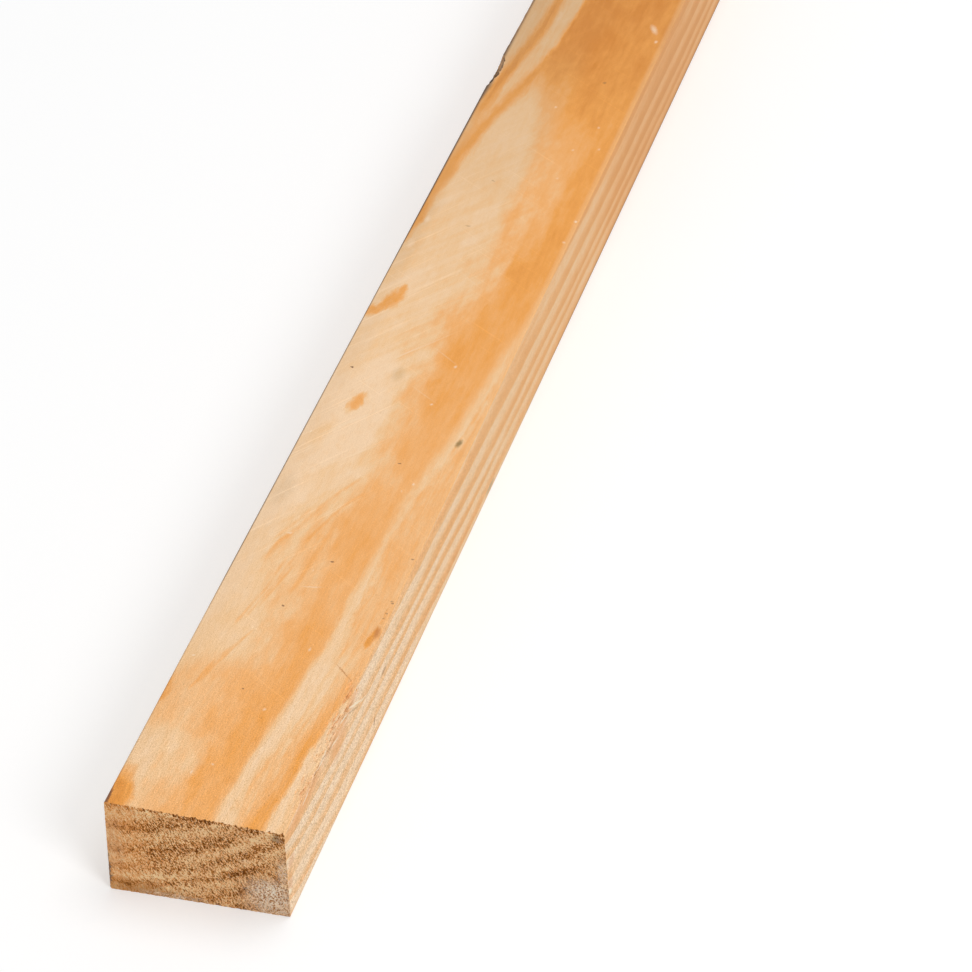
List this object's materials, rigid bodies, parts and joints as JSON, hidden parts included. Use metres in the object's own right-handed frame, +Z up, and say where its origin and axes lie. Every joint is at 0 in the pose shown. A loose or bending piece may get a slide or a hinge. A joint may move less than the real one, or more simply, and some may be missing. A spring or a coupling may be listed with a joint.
{
  "type": "timber plank",
  "caption": "Planed softwood plank, a single straight length of rectangular section with rough-sawn ends, a dead knot hole and a chipped arris.",
  "frame": {"origin": "in the wide face that the plank lies on, under the middle of its length and width", "axes": "+X along the length from the near end to the far end, +Y across the width towards the left edge, +Z up through the thickness"},
  "size_m": [3, 0.064, 0.038],
  "materials": {
    "planed_pine": "planed bare softwood, satin, with rough-sawn end grain"
  },
  "bodies": {
    "root": {"plank": "planed_pine"}
  },
  "joints": []
}
